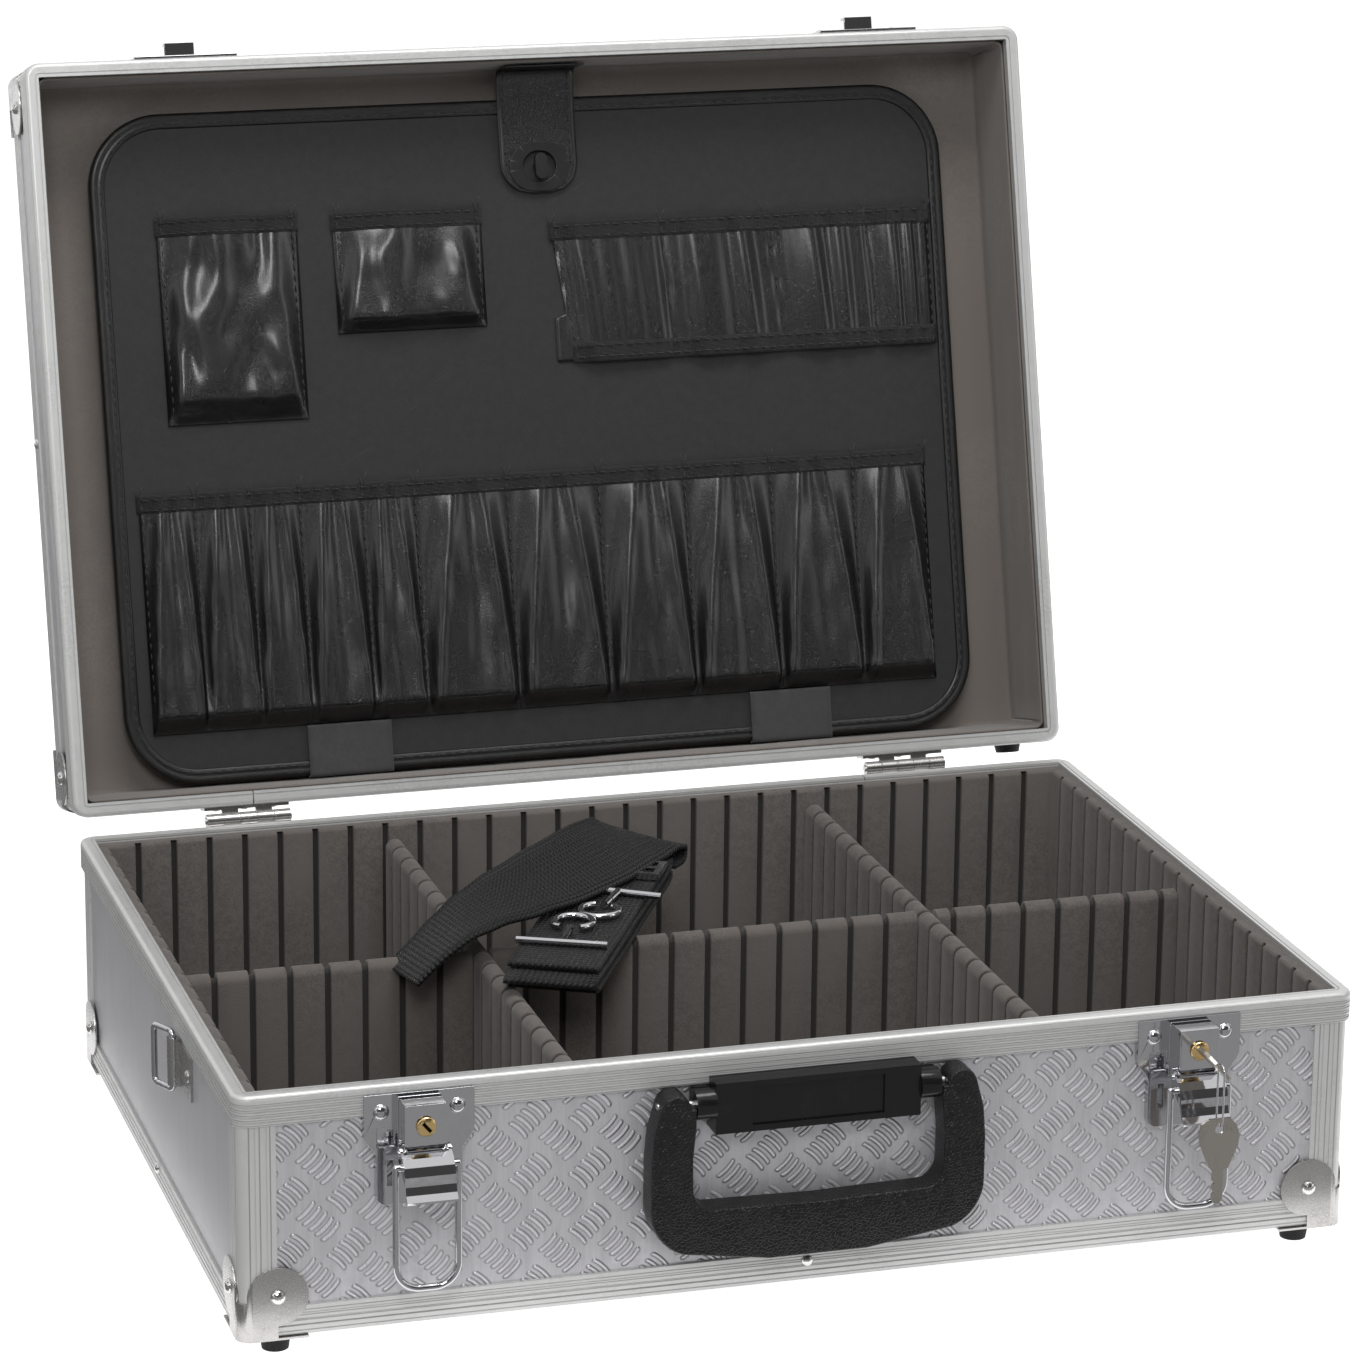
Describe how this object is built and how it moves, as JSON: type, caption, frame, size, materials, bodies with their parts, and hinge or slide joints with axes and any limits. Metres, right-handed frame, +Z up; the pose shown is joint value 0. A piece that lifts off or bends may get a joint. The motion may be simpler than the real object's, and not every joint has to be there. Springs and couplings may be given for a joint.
{
  "type": "tool case",
  "caption": "Hard aluminium-edged tool case with hinged lid, draw latches, carrying handle, padded dividers and a fold-out tool pallet.",
  "frame": {"origin": "centre of the underside of the base's bottom panel; the edge profiles, caps and rubber feet reach below it", "axes": "+X to the right seen from the front, the front with handle and latches faces -Y, +Z up; stored with the lid open"},
  "size_m": [0.4744, 0.5088, 0.4368],
  "materials": {
    "panel_sheet": "thin laminated sheet, diamond pattern on the front, satin elsewhere",
    "edge_profile": "anodised extrusion",
    "corner_steel": "pressed nickel-plated caps and rivets",
    "latch_steel": "bright zinc plating",
    "hinge_steel": "plated steel",
    "barrel_brass": "brass plug",
    "key_steel": "nickel-plated keys",
    "feet_rubber": "black rubber",
    "handle_plastic": "grained black plastic",
    "foam_grey": "ribbed grey-brown lining",
    "lid_fabric": "suede-like grey-brown cloth",
    "board_black": "board covered with black leatherette",
    "leatherette": "black grained leatherette",
    "tab_cloth": "grey cloth",
    "button_metal": "dark grey enamel",
    "webbing": "black woven webbing"
  },
  "bodies": {
    "base": {"base_bottom_panel": "panel_sheet", "base_front_panel": "panel_sheet", "base_back_panel": "panel_sheet", "base_left_panel": "panel_sheet", "base_right_panel": "panel_sheet", "base_rim": "edge_profile", "base_edge_profiles": "edge_profile", "base_corner_posts": "edge_profile", "base_corner_caps": "corner_steel", "base_rivets": "corner_steel", "base_feet": "feet_rubber", "rear_feet": "feet_rubber", "base_wall_lining": "foam_grey", "base_floor_pad": "foam_grey", "divider_left": "foam_grey", "divider_right": "foam_grey", "hinge_leaves_base": "hinge_steel", "hinge_pins": "hinge_steel", "latch_plate_left": "latch_steel", "latch_plate_right": "latch_steel", "lever_pins": "latch_steel", "handle_bracket": "handle_plastic", "handle_pins": "hinge_steel", "ring_plates": "latch_steel"},
    "lid": {"lid_top_panel": "panel_sheet", "lid_wall_panels": "panel_sheet", "lid_rim": "edge_profile", "lid_edge_profiles": "edge_profile", "lid_corner_posts": "edge_profile", "lid_corner_caps": "corner_steel", "lid_rivets": "corner_steel", "lid_foot": "feet_rubber", "lid_lining": "lid_fabric", "hinge_leaves_lid": "hinge_steel", "catch_plates": "latch_steel"},
    "pallet": {"pallet_board": "board_black", "pallet_binding": "leatherette", "pallet_tabs": "tab_cloth", "pallet_pockets": "leatherette"},
    "turn_button": {"turn_button": "button_metal"},
    "closing_strap": {"closing_strap": "leatherette", "strap_eyelet": "button_metal"},
    "handle": {"handle": "handle_plastic"},
    "lever_left": {"lever_left": "latch_steel"},
    "lever_right": {"lever_right": "latch_steel"},
    "bail_left": {"bail_left": "latch_steel"},
    "bail_right": {"bail_right": "latch_steel"},
    "lock_left": {"lock_barrel_left": "barrel_brass"},
    "lock_right": {"lock_barrel_right": "barrel_brass", "lock_key": "key_steel"},
    "key_ring": {"key_ring": "latch_steel"},
    "spare_key": {"spare_key": "key_steel"},
    "side_ring_left": {"side_ring_left": "latch_steel"},
    "side_ring_right": {"side_ring_right": "latch_steel"},
    "cross_divider_left": {"cross_divider_left": "foam_grey"},
    "cross_divider_middle": {"cross_divider_middle": "foam_grey"},
    "cross_divider_right": {"cross_divider_right": "foam_grey"},
    "shoulder_strap": {"shoulder_strap": "webbing", "snap_hooks": "latch_steel", "strap_slider": "latch_steel"}
  },
  "joints": [
    {"name": "lid_hinge", "type": "hinge", "parent": "base", "child": "lid", "pos_m": [0, 0.1706, 0.09925], "axis": [1, 0, 0], "range_deg": [0, 104.74]},
    {"name": "pallet_fold", "type": "hinge", "parent": "lid", "child": "pallet", "pos_m": [0, 0.20398, 0.10526], "axis": [-1, 0, 0], "range_deg": [-65, 0], "deforming": ["closing_strap", "strap_eyelet"]},
    {"name": "closing_strap_flap", "type": "hinge", "parent": "lid", "child": "closing_strap", "pos_m": [0, 0.26216, 0.41288], "axis": [1, 0, 0], "range_deg": [-75, 0]},
    {"name": "button_turn", "type": "hinge", "parent": "pallet", "child": "turn_button", "pos_m": [0.0065, 0.27374, 0.36454], "axis": [0, -0.9671, 0.2544], "range_deg": [0, 90]},
    {"name": "handle_swing", "type": "hinge", "parent": "base", "child": "handle", "pos_m": [0, -0.1714, 0.081], "axis": [-1, 0, 0], "range_deg": [0, 100]},
    {"name": "lever_left_lift", "type": "hinge", "parent": "base", "child": "lever_left", "pos_m": [-0.158, -0.1744, 0.0742], "axis": [1, 0, 0], "range_deg": [-48, 0]},
    {"name": "lever_right_lift", "type": "hinge", "parent": "base", "child": "lever_right", "pos_m": [0.158, -0.1744, 0.0742], "axis": [1, 0, 0], "range_deg": [-48, 0]},
    {"name": "bail_left_swing", "type": "hinge", "parent": "lever_left", "child": "bail_left", "pos_m": [-0.158, -0.1784, 0.0698], "axis": [-1, 0, 0], "range_deg": [0, 190.37]},
    {"name": "bail_right_swing", "type": "hinge", "parent": "lever_right", "child": "bail_right", "pos_m": [0.158, -0.1784, 0.0698], "axis": [-1, 0, 0], "range_deg": [0, 190.37]},
    {"name": "lock_left_turn", "type": "hinge", "parent": "base", "child": "lock_left", "pos_m": [-0.158, -0.177, 0.0853], "axis": [0, -1, 0], "range_deg": [0, 90]},
    {"name": "lock_right_turn", "type": "hinge", "parent": "base", "child": "lock_right", "pos_m": [0.158, -0.177, 0.0853], "axis": [0, -1, 0], "range_deg": [0, 90]},
    {"name": "key_ring_swing", "type": "hinge", "parent": "base", "child": "key_ring", "pos_m": [0.158, -0.19995, 0.0842], "axis": [1, 0, 0], "range_deg": [-12, 12]},
    {"name": "spare_key_swing", "type": "hinge", "parent": "key_ring", "child": "spare_key", "pos_m": [0.158, -0.19995, 0.062], "axis": [0, 1, 0], "range_deg": [-20, 20]},
    {"name": "side_ring_left_swing", "type": "hinge", "parent": "base", "child": "side_ring_left", "pos_m": [-0.2304, -0.049, 0.0725], "axis": [0, 0, 1], "range_deg": [-25, 130]},
    {"name": "side_ring_right_swing", "type": "hinge", "parent": "base", "child": "side_ring_right", "pos_m": [0.2304, -0.049, 0.0725], "axis": [0, 0, -1], "range_deg": [-25, 130]},
    {"name": "cross_divider_left_lift", "type": "slide", "parent": "base", "child": "cross_divider_left", "axis": [0, 0, -1], "range_m": [-0.095, 0]},
    {"name": "cross_divider_middle_lift", "type": "slide", "parent": "base", "child": "cross_divider_middle", "axis": [0, 0, -1], "range_m": [-0.095, 0]},
    {"name": "cross_divider_right_lift", "type": "slide", "parent": "base", "child": "cross_divider_right", "axis": [0, 0, -1], "range_m": [-0.095, 0]},
    {"name": "shoulder_strap_lift", "type": "slide", "parent": "cross_divider_middle", "child": "shoulder_strap", "axis": [0, 0, -1], "range_m": [-0.12, 0]}
  ]
}
